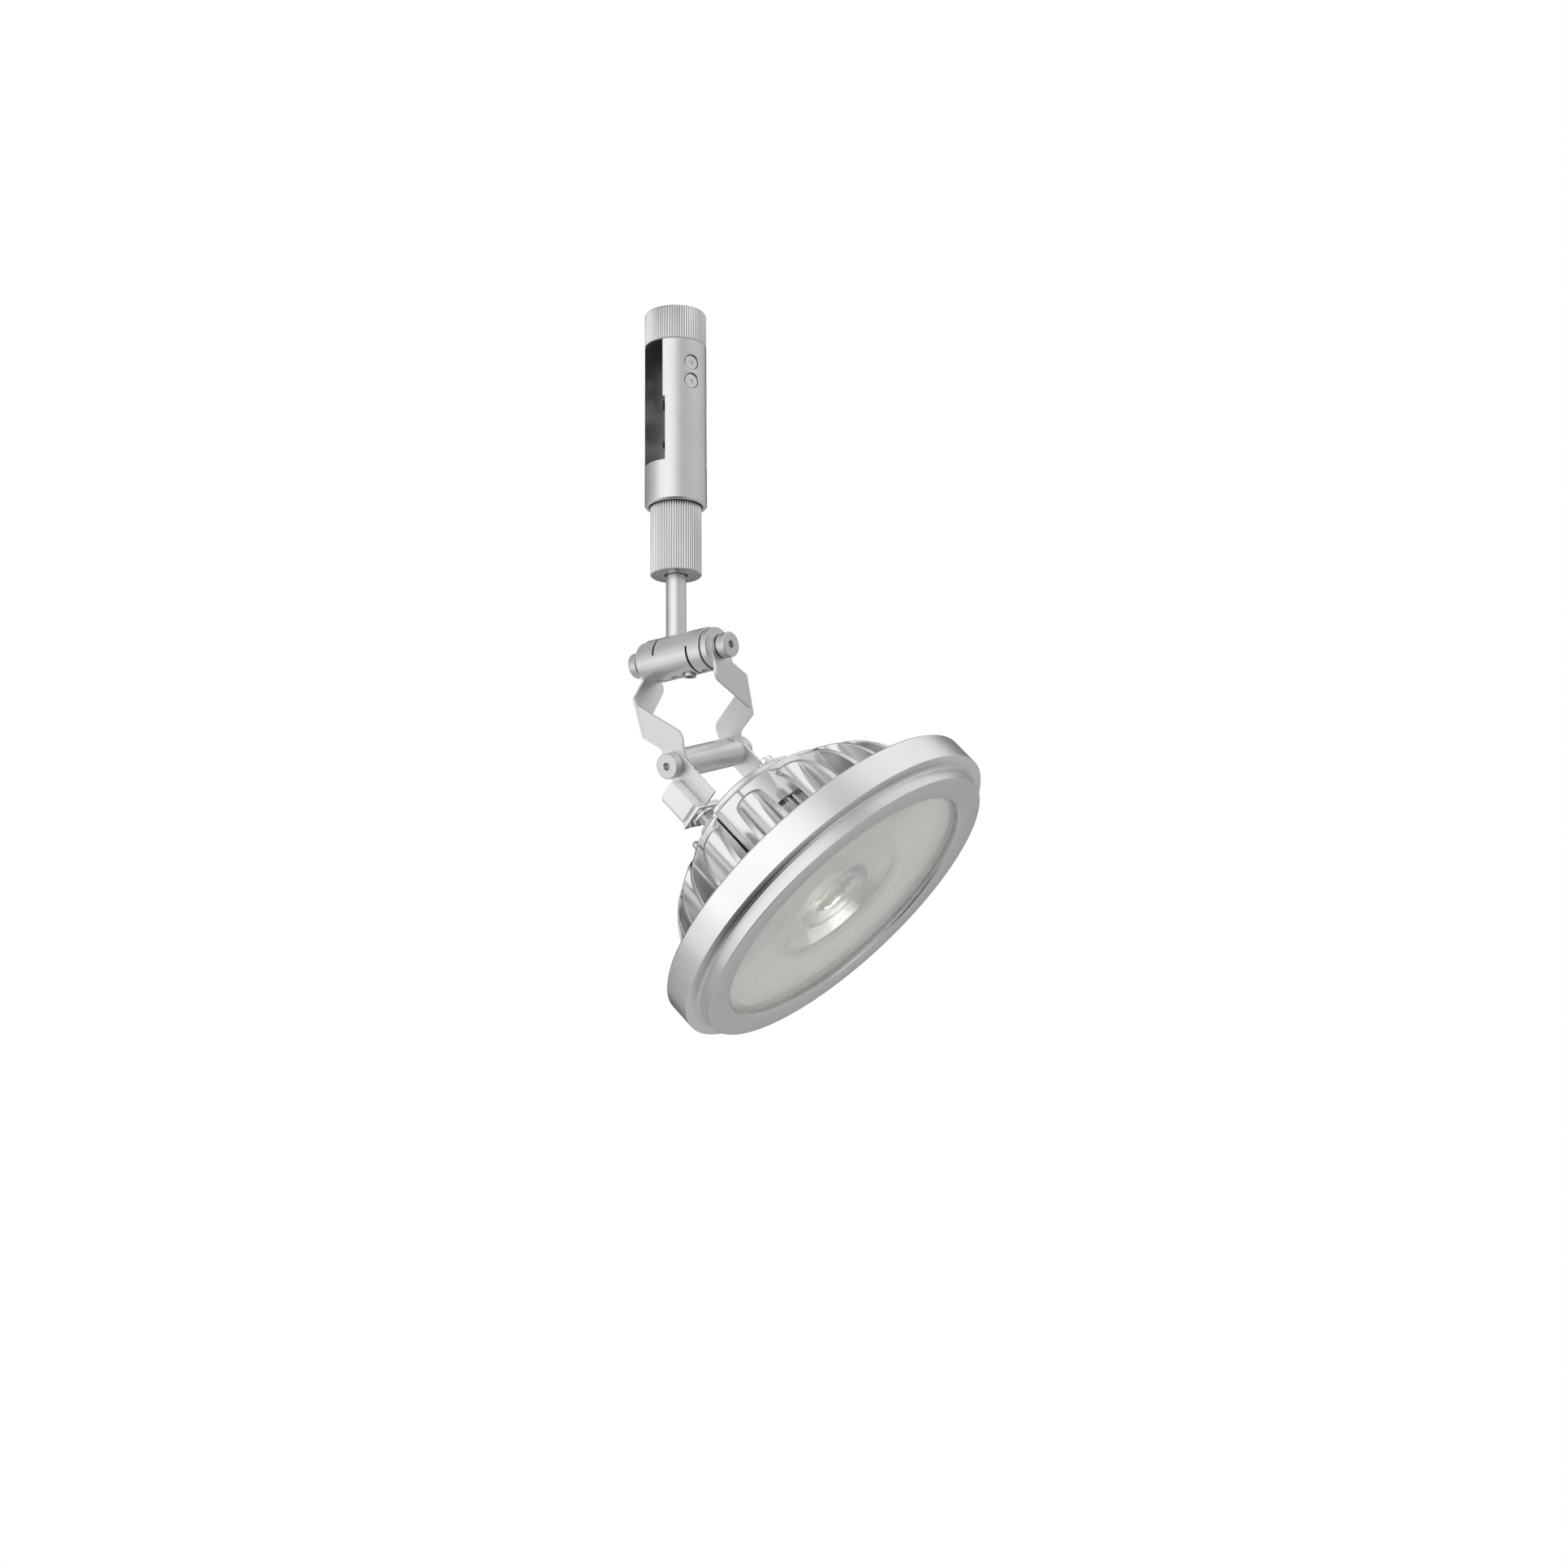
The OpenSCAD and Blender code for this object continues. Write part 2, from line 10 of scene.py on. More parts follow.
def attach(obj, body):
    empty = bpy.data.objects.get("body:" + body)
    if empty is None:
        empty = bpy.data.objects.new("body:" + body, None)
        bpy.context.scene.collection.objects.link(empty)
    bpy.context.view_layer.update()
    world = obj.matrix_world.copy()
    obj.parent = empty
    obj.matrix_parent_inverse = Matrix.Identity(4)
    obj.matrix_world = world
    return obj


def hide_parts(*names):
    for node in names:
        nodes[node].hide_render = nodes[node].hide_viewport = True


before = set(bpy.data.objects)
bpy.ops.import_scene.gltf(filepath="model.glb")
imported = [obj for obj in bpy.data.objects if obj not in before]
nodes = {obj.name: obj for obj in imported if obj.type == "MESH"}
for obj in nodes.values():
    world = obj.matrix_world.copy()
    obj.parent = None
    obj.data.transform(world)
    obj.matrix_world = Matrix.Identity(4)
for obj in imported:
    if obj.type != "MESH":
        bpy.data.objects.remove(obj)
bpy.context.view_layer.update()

MM = 0.001
TAU = 2 * math.pi

# ---------- sizes that the CAD source also uses, in millimetres ----------

BARREL_Z = -77.4
BARREL_OFF = 2.6
ARM_L = 30.7
SWIVEL, YOKE_TILT, LAMP_TILT = -72.2, 19.0, 37.4
AXIS_Y = -5.0
CAP_Z = (19.1, 29.8)
CAP_R = 9.25
SLEEVE_Z = (-52.6, -30.2)
SLEEVE_R = 7.6
RIM_F = 59.0
FACE_Z = 63.6
TERM = (-5.3, 13.8)
FOOT_Z = 14.6
FAR_LIFT = 2.0
NOTCH_Z = 22.4

# ---------- sizes of what only this file makes, in millimetres ----------

CAP_FLUTES, CAP_CUT = 77, 0.26
SLEEVE_FLUTES, SLEEVE_CUT = 64, 0.24
# How far below the crest the painted shade in the flutes fades out, in millimetres.
CREST_UNSHADED = 0.07
THREAD_R, THREAD_CUT, THREAD_PITCH = 1.99, 0.3, 0.7
PILLOW = 0.90
PILLOW_RISE = 0.14
LENS_FIELD_R, LENS_R = 41.3, 44.48
BOWL_CLEAR_R, BOWL_CLOUDY_R = 19.0, 22.5
BOWL_FACETS = 96


def turn(deg, axis):
    return Matrix.Rotation(math.radians(deg), 4, axis)


def shift(x, y, z):
    return Matrix.Translation(Vector((x, y, z)) * MM)


AXIS = shift(0, AXIS_Y, 0)
STEM = AXIS @ turn(SWIVEL, "Z")
BARREL = STEM @ shift(BARREL_OFF, 0, BARREL_Z)
YOKE = BARREL @ turn(YOKE_TILT, "X")
TUBE = YOKE @ shift(0, 0, -ARM_L)
LAMP = TUBE @ turn(-LAMP_TILT, "Y") @ turn(180, "X")

# ---------- material helpers ----------


class Graph:
    """A material's node tree, with short ways to add and link nodes."""

    def __init__(self, name):
        self.mat = bpy.data.materials.new(name)
        self.mat.use_nodes = True
        self.nodes = self.mat.node_tree.nodes
        self.links = self.mat.node_tree.links
        self.shader = self.nodes["Principled BSDF"]

    def add(self, kind, **values):
        n = self.nodes.new(kind)
        for key, value in values.items():
            if hasattr(n, key):
                setattr(n, key, value)
            else:
                n.inputs[key.replace("_", " ")].default_value = value
        return n

    def link(self, a, b):
        self.links.new(a, b)

    def set(self, **values):
        for key, value in values.items():
            self.shader.inputs[key.replace("_", " ")].default_value = value

    def own(self):
        """A piece's own places in metres, kept on its mesh."""
        return self.add("ShaderNodeAttribute", attribute_name="local").outputs["Vector"]

    def coords(self, scale=(1, 1, 1), cad=False):
        """Places in metres, stretched by scale: a piece's own, or a CAD node's."""
        source = self.add("ShaderNodeTexCoord").outputs["Object"] if cad else self.own()
        m = self.add("ShaderNodeMapping")
        m.inputs["Scale"].default_value = scale
        self.link(source, m.inputs["Vector"])
        return m.outputs["Vector"]

    def noise(self, vector, scale, detail=3.0, rough=0.55):
        n = self.add("ShaderNodeTexNoise", Scale=scale, Detail=detail, Roughness=rough)
        self.link(vector, n.inputs["Vector"])
        return n.outputs["Fac"]

    def span(self, value, lo, hi, from_lo=0.3, from_hi=0.7, smooth=False):
        m = self.add("ShaderNodeMapRange")
        if smooth:
            m.interpolation_type = "SMOOTHSTEP"
        for key, v in (("From Min", from_lo), ("From Max", from_hi), ("To Min", lo), ("To Max", hi)):
            m.inputs[key].default_value = v
        self.link(value, m.inputs["Value"])
        return m.outputs["Result"]

    def tint(self, value, dark, light):
        r = self.add("ShaderNodeValToRGB")
        ends = r.color_ramp.elements
        ends[0].position, ends[1].position = 0.25, 0.75
        ends[0].color, ends[1].color = (*dark, 1), (*light, 1)
        self.link(value, r.inputs["Fac"])
        self.link(r.outputs["Color"], self.shader.inputs["Base Color"])

    def bump(self, height, distance, after=None):
        b = self.add("ShaderNodeBump", Strength=1.0, Distance=distance)
        self.link(height, b.inputs["Height"])
        if after is not None:
            self.link(after, b.inputs["Normal"])
        self.link(b.outputs["Normal"], self.shader.inputs["Normal"])
        return b.outputs["Normal"]

    def radius(self):
        """Distance from the piece's own axis, in metres."""
        flat = self.add("ShaderNodeVectorMath", operation="MULTIPLY")
        flat.inputs[1].default_value = (1, 1, 0)
        length = self.add("ShaderNodeVectorMath", operation="LENGTH")
        self.link(self.own(), flat.inputs[0])
        self.link(flat.outputs["Vector"], length.inputs[0])
        return length.outputs["Value"]

    def darken(self, factor):
        """Multiplies the colour that the shader already has."""
        colour = self.shader.inputs["Base Color"]
        mix = self.add("ShaderNodeMix", data_type="RGBA", blend_type="MULTIPLY")
        mix.inputs["Factor"].default_value = 1.0
        self.link(colour.links[0].from_socket, mix.inputs["A"])
        self.link(factor, mix.inputs["B"])
        self.link(mix.outputs["Result"], colour)


def metal(name, dark, light, rough, spread, grain=2500.0, depth=4e-6, turned=None, lines=0.0, cad=False):
    """Metal with a fine grain, cloudy gloss and, where turned, lathe lines across that axis."""
    g = Graph(name)
    g.set(Metallic=1.0)
    plain = g.coords(cad=cad)
    cloud = g.noise(plain, 90.0)
    g.tint(cloud, dark, light)
    g.link(g.span(cloud, rough - spread, rough + spread), g.shader.inputs["Roughness"])
    n = g.bump(g.noise(plain, grain, 2.0), depth)
    if turned:
        scale = [120.0, 120.0, 120.0]
        scale["XYZ".index(turned)] = 5200.0
        g.bump(g.noise(g.coords(scale), 1.0, 2.0, 0.7), lines, n)
    return g


def knurled_metal(name, radius, cut, dark):
    """Metal with painted shade in its flutes, down to the factor dark at their bottom; radius is the
    crest's and cut the flutes' depth.
    """
    g = metal(name, grey(0.78), grey(0.84), 0.26, 0.03)
    # Painted shade: the colour grows darker the deeper a point lies in a flute.
    g.darken(g.span(g.radius(), dark, 1.0, (radius - cut) * MM, (radius - CREST_UNSHADED) * MM))
    return g


def plastic(name, dark, light, rough, grain=900.0, translucent=0.0, cad=False):
    """Moulded plastic, which may let some light into its surface."""
    g = Graph(name)
    plain = g.coords(cad=cad)
    cloud = g.noise(plain, 120.0)
    g.tint(cloud, dark, light)
    g.link(g.span(cloud, rough - 0.05, rough + 0.07), g.shader.inputs["Roughness"])
    g.bump(g.noise(plain, grain), 6e-6)
    if translucent:
        g.set(Subsurface_Weight=translucent, Subsurface_Scale=0.002)
        g.set(Subsurface_Radius=(1.0, 1.0, 1.0))
    return g


def clear_plastic(name, dark, light, rough, alpha, transmission):
    """See-through plastic with a faint cloudiness."""
    g = Graph(name)
    plain = g.coords()
    cloud = g.noise(plain, 60.0, 2.0)
    g.tint(cloud, dark, light)
    g.link(g.span(cloud, rough, rough + 0.05), g.shader.inputs["Roughness"])
    g.set(Alpha=alpha, IOR=1.49, Transmission_Weight=transmission)
    g.bump(g.noise(plain, 700.0, 2.0), 3e-6)
    return g


def pillow_plastic(name, dark, light, clear, cloudy, groove_shade):
    """Clear plastic in pillows: clearer over the bowl, with painted shade in the lines between the
    pillows, darker by a factor.
    """
    g = clear_plastic(name, dark, light, 0.04, 0.60, 0.60)
    alpha = g.span(g.radius(), clear, cloudy, BOWL_CLEAR_R * MM, BOWL_CLOUDY_R * MM, smooth=True)
    g.link(alpha, g.shader.inputs["Alpha"])
    axes = g.add("ShaderNodeSeparateXYZ")
    g.link(g.own(), axes.inputs[0])
    both = g.add("ShaderNodeMath")
    for k, axis in enumerate("XY"):
        scale = g.add("ShaderNodeMath", operation="MULTIPLY")
        scale.inputs[1].default_value = TAU / (PILLOW * MM)
        wave = g.add("ShaderNodeMath", operation="COSINE")
        g.link(axes.outputs[axis], scale.inputs[0])
        g.link(scale.outputs[0], wave.inputs[0])
        g.link(wave.outputs[0], both.inputs[k])
    # Painted shade: the colour is darkened in a grid of lines between the pillows.
    g.darken(g.span(both.outputs[0], 1.0, groove_shade, -1.6, 1.2))
    return g


def grey(level):
    """The faintly cool grey of bare aluminium and steel."""
    return (level, level, level + 0.01)


# ---------- materials ----------

TURNED_Z = metal("turned_aluminium_z", grey(0.70), grey(0.76), 0.30, 0.03, turned="Z", lines=3e-6)
# The knurled parts carry painted shade in their flutes, 0.45 of the colour at the bottom.
KNURL_CAP = knurled_metal("knurled_aluminium_cap", CAP_R, CAP_CUT, 0.45)
KNURL_SLEEVE = knurled_metal("knurled_aluminium_sleeve", SLEEVE_R, SLEEVE_CUT, 0.45)
TURNED_X = metal("turned_aluminium_x", grey(0.64), grey(0.72), 0.30, 0.04, turned="X", lines=4e-6)
TURNED_Y = metal("turned_aluminium_y", grey(0.68), grey(0.76), 0.34, 0.04, turned="Y", lines=5e-6)
SCREW = metal("pivot_screw_aluminium", grey(0.60), grey(0.67), 0.34, 0.03, 2600.0)
SHEET = metal("sheet_aluminium", grey(0.74), grey(0.80), 0.46, 0.04, 3200.0, 5e-6)
CAST = metal("cast_aluminium", grey(0.66), grey(0.72), 0.17, 0.02, 1400.0)
RIM = metal("rim_aluminium", grey(0.77), grey(0.82), 0.27, 0.02, 2600.0, 3e-6)
RING = metal("ring_aluminium", grey(0.66), grey(0.71), 0.27, 0.02, 2600.0, 3e-6)
STEEL = metal("steel", grey(0.46), grey(0.58), 0.22, 0.05, 2200.0)
BRIGHT = metal("bright_steel", grey(0.78), grey(0.88), 0.10, 0.03, 1800.0, 3e-6)
CONTACT = metal("contact_steel", (0.62, 0.61, 0.59), (0.74, 0.73, 0.71), 0.24, 0.05, cad=True)
BRASS = metal("brass", (0.66, 0.48, 0.20), (0.78, 0.60, 0.28), 0.24, 0.05, cad=True)
COPPER = metal("copper", (0.66, 0.32, 0.18), (0.80, 0.42, 0.26), 0.26, 0.06, cad=True)
BOWL = metal("reflector_metal", (0.90, 0.88, 0.85), (0.96, 0.94, 0.91), 0.10, 0.03, 1500.0, 2e-6)

SOOT, COAL = (0.012, 0.012, 0.013), (0.03, 0.03, 0.032)
BLACK = plastic("black_plastic", SOOT, COAL, 0.42)
BLACK_CAD = plastic("black_plastic_inner", SOOT, COAL, 0.42, cad=True)
WHITE = plastic("white_plastic", (0.90, 0.90, 0.90), (0.96, 0.96, 0.96), 0.28, translucent=0.4)
WHITE_CAD = plastic("white_plastic_inner", (0.80, 0.80, 0.78), (0.88, 0.88, 0.86), 0.35, cad=True)
DIFFUSE = plastic("inner_cover_plastic", (0.84, 0.80, 0.74), (0.90, 0.87, 0.81), 0.42, cad=True)
EMITTER = plastic("emitter", (0.80, 0.62, 0.18), (0.92, 0.76, 0.30), 0.35, 1600.0, cad=True)
BOARD = plastic("circuit_board", (0.02, 0.10, 0.05), (0.05, 0.18, 0.09), 0.40, cad=True)
# The pillow lens carries painted shade between its pillows, 0.55 of the colour there.
LENS = pillow_plastic("pillow_lens_plastic", (0.97, 0.965, 0.94), (1.0, 0.995, 0.97), 0.28, 0.62, 0.55)
CLEAR = clear_plastic("clear_lens_plastic", (0.93, 0.94, 0.94), (0.98, 0.98, 0.98), 0.01, 0.90, 1.0)


def paint(obj, graph):
    obj.data.materials.clear()
    obj.data.materials.append(graph.mat)


# ---------- mesh helpers, in millimetres ----------


def fillet(points, radii, steps=4):
    """A closed outline with its corners rounded, by one radius for each corner."""
    out = []
    for i, p in enumerate(points):
        p = Vector(p)
        a = Vector(points[i - 1]) - p
        b = Vector(points[(i + 1) % len(points)]) - p
        half = a.angle(b) / 2
        if radii[i] <= 0 or half > math.radians(88.5):
            out.append(tuple(p))
            continue
        reach = min(radii[i] / math.tan(half), a.length * 0.49, b.length * 0.49)
        r = reach * math.tan(half)
        a.normalize()
        b.normalize()
        centre = p + (a + b).normalized() * (r / math.sin(half))
        s, e = p + a * reach - centre, p + b * reach - centre
        whole = s.angle(e) * (1 if s.x * e.y - s.y * e.x > 0 else -1)
        for k in range(steps + 1):
            t = whole * k / steps
            out.append((
                centre.x + s.x * math.cos(t) - s.y * math.sin(t),
                centre.y + s.x * math.sin(t) + s.y * math.cos(t),
            ))
    return out


def finish_mesh(name, bm, place, mat, body, node, sharp):
    """Turns a bmesh in millimetres into a piece that rides on a body and stands for a CAD node."""
    bmesh.ops.recalc_face_normals(bm, faces=bm.faces)
    mesh = bpy.data.meshes.new(name)
    bm.to_mesh(mesh)
    bm.free()
    mesh.transform(Matrix.Scale(MM, 4))
    own = mesh.attributes.new("local", "FLOAT_VECTOR", "POINT")
    own.data.foreach_set("vector", [c for v in mesh.vertices for c in v.co])
    mesh.transform(place)
    mesh.shade_smooth()
    mesh.set_sharp_from_angle(angle=math.radians(sharp))
    obj = bpy.data.objects.new(name, mesh)
    bpy.context.scene.collection.objects.link(obj)
    paint(obj, mat)
    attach(obj, body)
    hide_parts(node)
    return obj


def lathe(bm, rings, close=True):
    """Skins rings of equal length; each ring is a list of points, or one point for a pole."""
    made = [[bm.verts.new(p) for p in ring] for ring in rings]
    pairs = list(zip(made, made[1:]))
    if close:
        pairs.append((made[-1], made[0]))
    for a, b in pairs:
        n = max(len(a), len(b))
        for i in range(n):
            j = (i + 1) % n
            if len(a) == 1:
                bm.faces.new((a[0], b[i], b[j]))
            elif len(b) == 1:
                bm.faces.new((a[i], b[0], a[j]))
            else:
                bm.faces.new((a[i], b[i], b[j], a[j]))


def circle(r, z, n, offset=0.0):
    """A ring of n points about Z, turned on by offset points; a pole where r is 0."""
    if r == 0:
        return [(0, 0, z)]
    angles = [TAU * (i + offset) / n for i in range(n)]
    return [(r * math.cos(a), r * math.sin(a), z) for a in angles]


def revolve(bm, outline, n, at=(0, 0)):
    """Turns an (r, z) outline about an upright axis: a closed ring, unless it starts on the axis."""
    start = len(bm.verts)
    lathe(bm, [circle(r, z, n) for r, z in outline], close=outline[0][0] > 0)
    bm.verts.ensure_lookup_table()
    bmesh.ops.translate(bm, verts=bm.verts[start:], vec=(*at, 0))


def refined(node, body, place, mat, slot, edge, steps=2, angle=28.0, sharp=35.0, clamp=False):
    """The CAD node's own shape, with the edges that turn by more than angle rounded."""
    bm = bmesh.new()
    bm.from_mesh(nodes[node].data)
    bmesh.ops.transform(bm, matrix=Matrix.Scale(1 / MM, 4) @ place.inverted(), verts=bm.verts)
    bmesh.ops.remove_doubles(bm, verts=bm.verts, dist=1e-3)
    bmesh.ops.dissolve_limit(
        bm, angle_limit=math.radians(0.7), use_dissolve_boundaries=False,
        verts=bm.verts, edges=bm.edges)
    edges = [
        e for e in bm.edges
        if len(e.link_faces) == 2 and e.calc_face_angle(0) > math.radians(angle)
    ]
    bmesh.ops.bevel(
        bm, geom=edges, offset=edge, offset_type="OFFSET", segments=steps, profile=0.5,
        affect="EDGES", clamp_overlap=clamp)
    obj = finish_mesh(node + "_fine", bm, place, mat, body, node, sharp)
    normals = obj.modifiers.new("normals", "WEIGHTED_NORMAL")
    normals.keep_sharp = True


SATIN = "satin_aluminium"

# ---------- knurled cap and sleeve ----------

# One flute: how far along it, and how deep as a share of the full depth.
FLUTE = ((0.0, 0.0), (0.22, 0.0), (0.38, 0.5), (0.56, 1.0), (0.66, 1.0), (0.84, 0.5))


def knurled(name, node, rows, outer, flutes, depth, bore, mat):
    """A turned part from (r, z) rows, with straight flutes cut into what lies outside bore."""
    steps = [(k + along, deep) for k in range(flutes) for along, deep in FLUTE]
    rings = []
    for r, z in rows:
        if r == 0:
            rings.append([(0, 0, z)])
            continue
        ring = []
        for along, deep in steps:
            reach = r if r < bore else min(r, outer - depth * deep)
            a = TAU * along / flutes
            ring.append((reach * math.cos(a), reach * math.sin(a), z))
        rings.append(ring)
    bm = bmesh.new()
    lathe(bm, rings, close=rows[0][0] > 0)
    finish_mesh(name, bm, AXIS, mat, node, node, sharp=32.0)


def cap():
    low, high = CAP_Z
    rows = [
        (0, 26.6), (7.75, 26.6), (7.75, low + 0.15), (7.9, low), (CAP_R - 0.25, low), (CAP_R, low + 0.25),
        (CAP_R, high - 0.95), (CAP_R - 0.12, high - 0.62), (CAP_R - 0.42, high - 0.28),
        (CAP_R - 0.85, high - 0.08), (CAP_R - 1.3, high), (0, high),
    ]
    knurled("cap_knurled", "cap", rows, CAP_R, CAP_FLUTES, CAP_CUT, 8.0, KNURL_CAP)


def sleeve():
    low, high = SLEEVE_Z
    rows = [
        (3.4, low + 0.15), (3.55, low), (7.0, low), (7.35, low + 0.06), (SLEEVE_R, low + 0.3),
        (SLEEVE_R, high - 0.3), (7.3, high), (6.25, high), (6.05, high - 0.2), (6.05, low + 3.4),
        (3.4, low + 3.4),
    ]
    knurled("sleeve_knurled", "sleeve", rows, SLEEVE_R, SLEEVE_FLUTES, SLEEVE_CUT, 7.0, KNURL_SLEEVE)


cap()
sleeve()

# ---------- shapes that follow the CAD, with rounded edges ----------

FOLDED = {"angle": 40.0, "sharp": 12.0, "clamp": True}

# Each piece's CAD node, body, frame, material, slot, edge radius and what differs from the usual.
REFINED = (
    ("adapter_body", "adapter", AXIS, TURNED_Z, SATIN, 0.16, {"steps": 3}),
    ("contact_carrier", "adapter", AXIS, BLACK, "black_plastic", 0.12, {}),
    ("carrier_screws", "adapter", AXIS, BRIGHT, "steel", 0.08, {}),
    ("rod", "stem", STEM, TURNED_Z, SATIN, 0.12, {}),
    ("barrel", "stem", BARREL, TURNED_X, SATIN, 0.12, {}),
    ("clamp_screw", "stem", BARREL, STEEL, "steel", 0.08, {}),
    ("grub_screws", "stem", BARREL, STEEL, "steel", 0.06, {}),
    ("bush_left", "yoke", YOKE, TURNED_X, SATIN, 0.12, {}),
    ("bush_right", "yoke", YOKE, TURNED_X, SATIN, 0.12, {}),
    ("arm_left", "yoke", YOKE, SHEET, SATIN, 0.10, FOLDED),
    ("arm_right", "yoke", YOKE, SHEET, SATIN, 0.10, FOLDED),
    ("upper_washers", "yoke", YOKE, STEEL, "steel", 0.08, {}),
    ("upper_screws", "yoke", YOKE, SCREW, SATIN, 0.10, {}),
    ("tube_left", "yoke", TUBE, TURNED_Y, SATIN, 0.03, {}),
    ("tube_right", "yoke", TUBE, TURNED_Y, SATIN, 0.03, {}),
    ("tube_grub_screws", "yoke", TUBE, STEEL, "steel", 0.06, {}),
    ("lower_washers", "yoke", TUBE, STEEL, "steel", 0.06, {}),
    ("lower_screws", "yoke", TUBE, SCREW, SATIN, 0.10, {}),
    ("strip_left", "lamp", LAMP, SHEET, SATIN, 0.10, FOLDED),
    ("strip_right", "lamp", LAMP, SHEET, SATIN, 0.10, FOLDED),
    ("terminal_plates", "lamp", LAMP, BRIGHT, "bright_steel", 0.14, {}),
    ("terminal_cover", "lamp", LAMP, WHITE, "white_plastic", 0.35, {"steps": 3}),
    ("terminal_lugs", "lamp", LAMP, STEEL, "steel", 0.1, {}),
    ("rear_cover", "lamp", LAMP, WHITE, "white_plastic", 0.2, {}),
    ("hub_pins", "lamp", LAMP, STEEL, "steel", 0.05, {"angle": 50.0}),
    ("heat_sink", "lamp", LAMP, CAST, "cast_aluminium", 0.22, {"steps": 3, "angle": 32.0, "sharp": 30.0}),
)
for node, body, place, mat, slot, edge, other in REFINED:
    refined(node, body, place, mat, slot, edge, **other)

# ---------- terminal screws ----------


def threaded(bm, low, high, blank):
    """A terminal screw's shank: plain for blank millimetres, then threaded, with a tapered end."""
    around, per_turn = 48, 8
    count = round((high - low) / THREAD_PITCH * per_turn)
    rings = [[(*TERM, low)]]
    for k in range(count + 1):
        z = low + (high - low) * k / count
        taper = 0.3 * (1 - min(1.0, (high - z) / 0.5 + 0.35))
        ring = []
        for i in range(around):
            a = TAU * i / around
            wave = 0.5 - 0.5 * math.cos(TAU * z / THREAD_PITCH - a)
            r = THREAD_R if z < low + blank else THREAD_R - THREAD_CUT * wave ** 1.3 - taper
            ring.append((TERM[0] + r * math.cos(a), TERM[1] + r * math.sin(a), z))
        rings.append(ring)
    rings.append([(*TERM, high)])
    lathe(bm, rings, close=False)


def terminal_screws():
    """Both screws, each with its head; the far one is a half turn round and further back."""
    bm = bmesh.new()
    for half_turns, lift in ((0, 0), (1, FAR_LIFT)):
        foot = FOOT_Z - lift
        start = len(bm.verts)
        threaded(bm, foot - 0.1, NOTCH_Z - 0.1, 0.9)
        head = [(0.8, foot - 2.6), (2.5, foot - 2.6), (2.5, foot - 0.05), (0.8, foot - 0.05)]
        revolve(bm, fillet(head, [0.0, 0.3, 0.15, 0.0], 3), 48, TERM)
        bm.verts.ensure_lookup_table()
        bmesh.ops.rotate(
            bm, verts=bm.verts[start:], cent=(0, 0, 0),
            matrix=Matrix.Rotation(half_turns * math.pi, 3, "Z"))
    finish_mesh(
        "terminal_screws_threaded", bm, LAMP, BRIGHT, "lamp", "terminal_screws", sharp=60.0)


terminal_screws()

# ---------- rim, ring and optics ----------


def turned_part(name, node, outline, mat, around=256):
    bm = bmesh.new()
    revolve(bm, outline, around)
    finish_mesh(name, bm, LAMP, mat, "lamp", node, sharp=50.0)


RIM_OUTLINE = [
    (51.12, 49.4), (54.3, 49.9), (55.0, 50), (55.5, 50.5), (55.5, 58.85), (55.35, RIM_F), (51.12, RIM_F),
]
RIM_RADII = [0, 0.3, 0.15, 0.2, 0.06, 0.06, 0]
turned_part("rim_band_turned", "rim_band", fillet(RIM_OUTLINE, RIM_RADII), RIM)

RING_OUTLINE = [
    (46.1, 59.02), (52.6, 59.02), (51.04, 59.3), (51.04, 63.45), (50.89, FACE_Z), (43.4, FACE_Z),
    (43, 63.2), (43, 62), (44.6, 62), (44.6, 59.5), (46.1, 59.5),
]
RING_RADII = [0, 0, 1.3, 0.06, 0.06, 0.12, 0.2, 0.1, 0.1, 0, 0]
turned_part("front_ring_turned", "front_ring", fillet(RING_OUTLINE, RING_RADII, 6), RING)


def pillow_lens():
    """The front lens: rows of small pillows inside a clear stepped edge."""
    top, bottom = FACE_Z - 1.95, RIM_F + 1.2
    middle = 2 * (math.ceil(LENS_FIELD_R / PILLOW) + 1)
    bm = bmesh.new()
    grid = {}

    def flat(i, j):
        return (i - middle) * PILLOW / 2, (j - middle) * PILLOW / 2

    def radius(corner):
        return math.hypot(*flat(*corner))

    def point(i, j):
        if (i, j) not in grid:
            x, y = flat(i, j)
            r = math.hypot(x, y)
            if r > LENS_FIELD_R:
                place = (x * LENS_FIELD_R / r, y * LENS_FIELD_R / r, top)
            else:
                place = (x, y, top + PILLOW_RISE * (i % 2 + j % 2) / 2)
            grid[i, j] = bm.verts.new(place)
        return grid[i, j]

    for i in range(2 * middle):
        for j in range(2 * middle):
            ring = ((i, j), (i + 1, j), (i + 1, j + 1), (i, j + 1))
            inside = sum(radius(corner) <= LENS_FIELD_R for corner in ring)
            near = max(radius(corner) for corner in ring) < LENS_FIELD_R + PILLOW / 2
            if inside >= 2 or (inside == 1 and near):
                bm.faces.new([point(*corner) for corner in ring])
    steps = (
        (LENS_FIELD_R + 0.25, top - 0.18), (LENS_FIELD_R + 0.75, top - 0.18),
        (LENS_FIELD_R + 1.0, top + 0.24), (LENS_R - 0.15, top + 0.24), (LENS_R, top + 0.1),
        (LENS_R, bottom + 0.1), (LENS_R - 0.1, bottom),
    )
    edges = [e for e in bm.edges if len(e.link_faces) == 1]
    for r, z in steps:
        made = bmesh.ops.extrude_edge_only(bm, edges=edges)["geom"]
        for v in made:
            if isinstance(v, bmesh.types.BMVert):
                k = r / math.hypot(v.co.x, v.co.y)
                v.co = (v.co.x * k, v.co.y * k, z)
        edges = [e for e in made if isinstance(e, bmesh.types.BMEdge)]
    bmesh.ops.edgeloop_fill(bm, edges=edges)
    finish_mesh("lens_plate_pillow", bm, LAMP, LENS, "lamp", "lens_plate", sharp=70.0)


